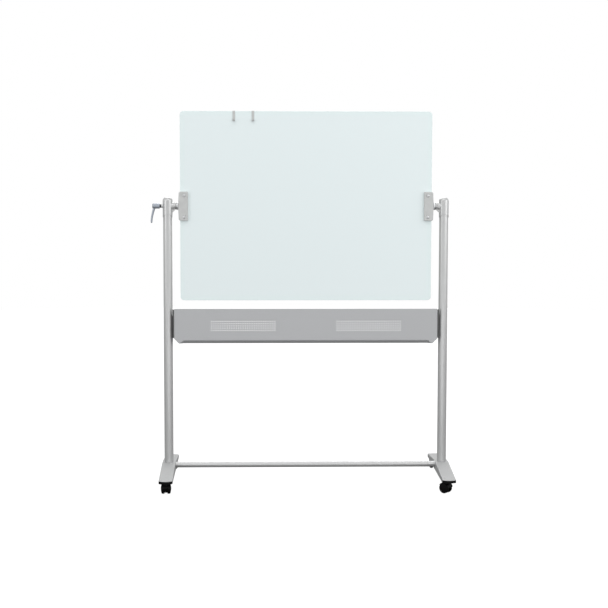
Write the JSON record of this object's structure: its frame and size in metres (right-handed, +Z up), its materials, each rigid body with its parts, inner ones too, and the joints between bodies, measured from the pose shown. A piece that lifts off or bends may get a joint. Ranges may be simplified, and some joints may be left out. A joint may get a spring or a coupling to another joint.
{
  "type": "rolling whiteboard",
  "caption": "Double-sided glass board on a pivot between two posts, with a clamping lever, hooks and a tray, on a wheeled stand.",
  "frame": {"origin": "on the floor, under the middle of the object's box at rest", "axes": "+Z up, -Y is the front of the board and of the tray, +X to the right as seen from the front"},
  "size_m": [1.4559, 0.7, 1.8116],
  "materials": {
    "silver_paint": "satin silver powder coat",
    "tray_paint": "satin grey powder coat",
    "grey_plastic": "fine moulded grey plastic",
    "dark_plastic": "dark grey moulded plastic",
    "black_plastic": "black moulded plastic",
    "wheel_plastic": "black wheel plastic",
    "zinc": "bright zinc plate",
    "black_steel": "blackened steel",
    "lever_metal": "satin grey-blue die casting",
    "board_glass": "polished glass, coated pale aqua on its back so that nothing shows through",
    "sheet_steel": "plain sheet steel",
    "core_board": "sawn fibre board"
  },
  "bodies": {
    "stand": {"crossbar": "silver_paint", "tray": "tray_paint", "left_foot": "silver_paint", "left_foot_front_cap": "black_plastic", "left_foot_rear_cap": "black_plastic", "left_post": "silver_paint", "left_post_bolt": "zinc", "left_post_head": "silver_paint", "left_friction_washer": "dark_plastic", "left_crossbar_bolt": "zinc", "left_tray_bracket": "dark_plastic", "left_tray_screw": "zinc", "right_foot": "silver_paint", "right_foot_front_cap": "black_plastic", "right_foot_rear_cap": "black_plastic", "right_post": "silver_paint", "right_post_bolt": "zinc", "right_post_head": "silver_paint", "right_friction_washer": "dark_plastic", "right_crossbar_bolt": "zinc", "right_tray_bracket": "dark_plastic", "right_tray_screw": "zinc"},
    "board": {"board_core": "core_board", "front_steel_sheet": "sheet_steel", "rear_steel_sheet": "sheet_steel", "front_glass": "board_glass", "rear_glass": "board_glass", "left_bracket_front_shell": "grey_plastic", "left_bracket_rear_shell": "grey_plastic", "left_upper_bracket_screw": "zinc", "left_lower_bracket_screw": "zinc", "left_pivot_shaft": "zinc", "right_bracket_front_shell": "grey_plastic", "right_bracket_rear_shell": "grey_plastic", "right_upper_bracket_screw": "zinc", "right_lower_bracket_screw": "zinc", "right_pivot_shaft": "zinc"},
    "lever_core": {"lever_insert": "black_steel", "lever_screw": "zinc", "lever_spring": "zinc"},
    "lever_grip": {"lever_handle": "lever_metal"},
    "left_hook": {"left_flipchart_hook": "grey_plastic"},
    "right_hook": {"right_flipchart_hook": "grey_plastic"},
    "left_front_caster": {"left_front_caster_body": "black_plastic", "left_front_caster_axle": "zinc"},
    "left_front_left_wheel": {"left_front_left_wheel": "wheel_plastic"},
    "left_front_right_wheel": {"left_front_right_wheel": "wheel_plastic"},
    "left_rear_caster": {"left_rear_caster_body": "black_plastic", "left_rear_caster_axle": "zinc"},
    "left_rear_left_wheel": {"left_rear_left_wheel": "wheel_plastic"},
    "left_rear_right_wheel": {"left_rear_right_wheel": "wheel_plastic"},
    "right_front_caster": {"right_front_caster_body": "black_plastic", "right_front_caster_axle": "zinc"},
    "right_front_left_wheel": {"right_front_left_wheel": "wheel_plastic"},
    "right_front_right_wheel": {"right_front_right_wheel": "wheel_plastic"},
    "right_rear_caster": {"right_rear_caster_body": "black_plastic", "right_rear_caster_axle": "zinc"},
    "right_rear_left_wheel": {"right_rear_left_wheel": "wheel_plastic"},
    "right_rear_right_wheel": {"right_rear_right_wheel": "wheel_plastic"}
  },
  "joints": [
    {"name": "board_turn", "type": "hinge", "parent": "stand", "child": "board", "pos_m": [0.025, 0, 1.3525], "axis": [1, 0, 0], "continuous": true},
    {"name": "lever_turn", "type": "hinge", "parent": "stand", "child": "lever_core", "pos_m": [-0.6456, 0, 1.3525], "axis": [1, 0, 0], "range_deg": [-90, 90]},
    {"name": "lever_lift", "type": "slide", "parent": "lever_core", "child": "lever_grip", "axis": [-1, 0, 0], "range_m": [0, 0.004], "stiffness_N_per_m": 1500},
    {"name": "left_hook_slide", "type": "slide", "parent": "board", "child": "left_hook", "axis": [1, 0, 0], "range_m": [-0.23, 0.038]},
    {"name": "right_hook_slide", "type": "slide", "parent": "board", "child": "right_hook", "axis": [1, 0, 0], "range_m": [-0.038, 0.83]},
    {"name": "left_front_swivel", "type": "hinge", "parent": "stand", "child": "left_front_caster", "pos_m": [-0.6456, -0.305, 0], "axis": [0, 0, 1], "continuous": true},
    {"name": "left_front_left_spin", "type": "hinge", "parent": "left_front_caster", "child": "left_front_left_wheel", "pos_m": [-0.6456, -0.289, 0.025], "axis": [1, 0, 0], "continuous": true},
    {"name": "left_front_right_spin", "type": "hinge", "parent": "left_front_caster", "child": "left_front_right_wheel", "pos_m": [-0.6456, -0.289, 0.025], "axis": [1, 0, 0], "continuous": true},
    {"name": "left_rear_swivel", "type": "hinge", "parent": "stand", "child": "left_rear_caster", "pos_m": [-0.6456, 0.305, 0], "axis": [0, 0, 1], "continuous": true},
    {"name": "left_rear_left_spin", "type": "hinge", "parent": "left_rear_caster", "child": "left_rear_left_wheel", "pos_m": [-0.64227, 0.32065, 0.025], "axis": [0.9781, -0.2079, 0], "continuous": true},
    {"name": "left_rear_right_spin", "type": "hinge", "parent": "left_rear_caster", "child": "left_rear_right_wheel", "pos_m": [-0.64227, 0.32065, 0.025], "axis": [0.9781, -0.2079, 0], "continuous": true},
    {"name": "right_front_swivel", "type": "hinge", "parent": "stand", "child": "right_front_caster", "pos_m": [0.6956, -0.305, 0], "axis": [0, 0, 1], "continuous": true},
    {"name": "right_front_left_spin", "type": "hinge", "parent": "right_front_caster", "child": "right_front_left_wheel", "pos_m": [0.68334, -0.29472, 0.025], "axis": [0.6428, 0.766, 0], "continuous": true},
    {"name": "right_front_right_spin", "type": "hinge", "parent": "right_front_caster", "child": "right_front_right_wheel", "pos_m": [0.68334, -0.29472, 0.025], "axis": [0.6428, 0.766, 0], "continuous": true},
    {"name": "right_rear_swivel", "type": "hinge", "parent": "stand", "child": "right_rear_caster", "pos_m": [0.6956, 0.305, 0], "axis": [0, 0, 1], "continuous": true},
    {"name": "right_rear_left_spin", "type": "hinge", "parent": "right_rear_caster", "child": "right_rear_left_wheel", "pos_m": [0.69393, 0.32091, 0.025], "axis": [0.9945, 0.1045, 0], "continuous": true},
    {"name": "right_rear_right_spin", "type": "hinge", "parent": "right_rear_caster", "child": "right_rear_right_wheel", "pos_m": [0.69393, 0.32091, 0.025], "axis": [0.9945, 0.1045, 0], "continuous": true}
  ]
}
